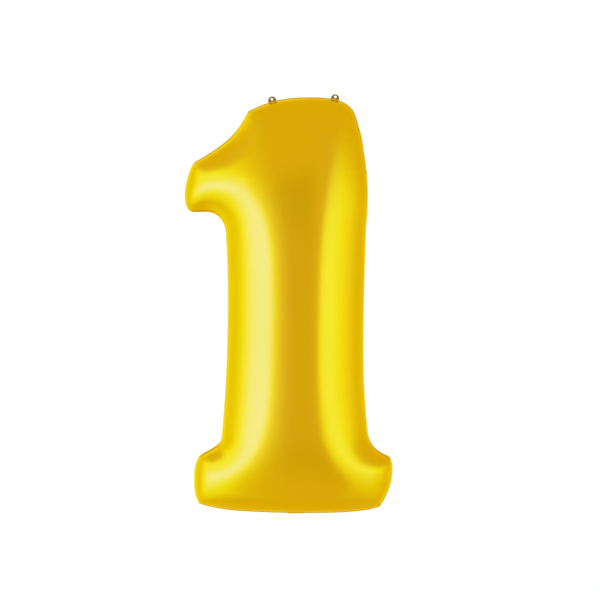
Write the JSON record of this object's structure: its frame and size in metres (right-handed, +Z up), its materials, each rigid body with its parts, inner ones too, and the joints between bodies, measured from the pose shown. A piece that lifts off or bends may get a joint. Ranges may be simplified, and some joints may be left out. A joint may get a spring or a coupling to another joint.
{
  "type": "foil number balloon",
  "caption": "Inflated gold foil balloon in the shape of the digit one, two film panels welded along a flat seam, with hanging tabs on top and a folded inlet tail",
  "frame": {"origin": "the hanging point, midway between the centres of the holes in the two hanging tabs, in the plane of the welded seam", "axes": "+Z up along the digit's height, +X to the digit's right as it is read, +Y towards the back; the front film faces -Y"},
  "size_m": [0.407, 0.19, 0.8199],
  "materials": {
    "gold_film": "metallised gold film, satin gloss",
    "tail_film": "metallised gold film, flat and slightly creased",
    "bronze_film": "two layers of film welded together, dark bronze",
    "clear_film": "clear polyethylene film"
  },
  "bodies": {
    "balloon": {"front_panel": "gold_film", "back_panel": "gold_film", "valve_front_film": "clear_film", "valve_back_film": "clear_film"},
    "tab_left": {"hanging_tab_left": "bronze_film"},
    "tab_right": {"hanging_tab_right": "bronze_film"},
    "tail": {"tail_front_leaf": "tail_film", "tail_back_leaf": "tail_film"}
  },
  "joints": [
    {"name": "tab_left_bend", "type": "hinge", "parent": "balloon", "child": "tab_left", "pos_m": [-0.06109, 0, -0.00602], "axis": [0.9696, 0, 0.2445], "range_deg": [-95, 95], "stiffness_Nm_per_rad": 0.0003},
    {"name": "tab_right_bend", "type": "hinge", "parent": "balloon", "child": "tab_right", "pos_m": [0.06124, 0, -0.00167], "axis": [0.9785, 0, -0.2064], "range_deg": [-95, 95], "stiffness_Nm_per_rad": 0.0003},
    {"name": "tail_bend", "type": "hinge", "parent": "balloon", "child": "tail", "pos_m": [-0.01491, 0, -0.812], "axis": [1, 0, 0], "range_deg": [-210, 6], "stiffness_Nm_per_rad": 0.001}
  ]
}
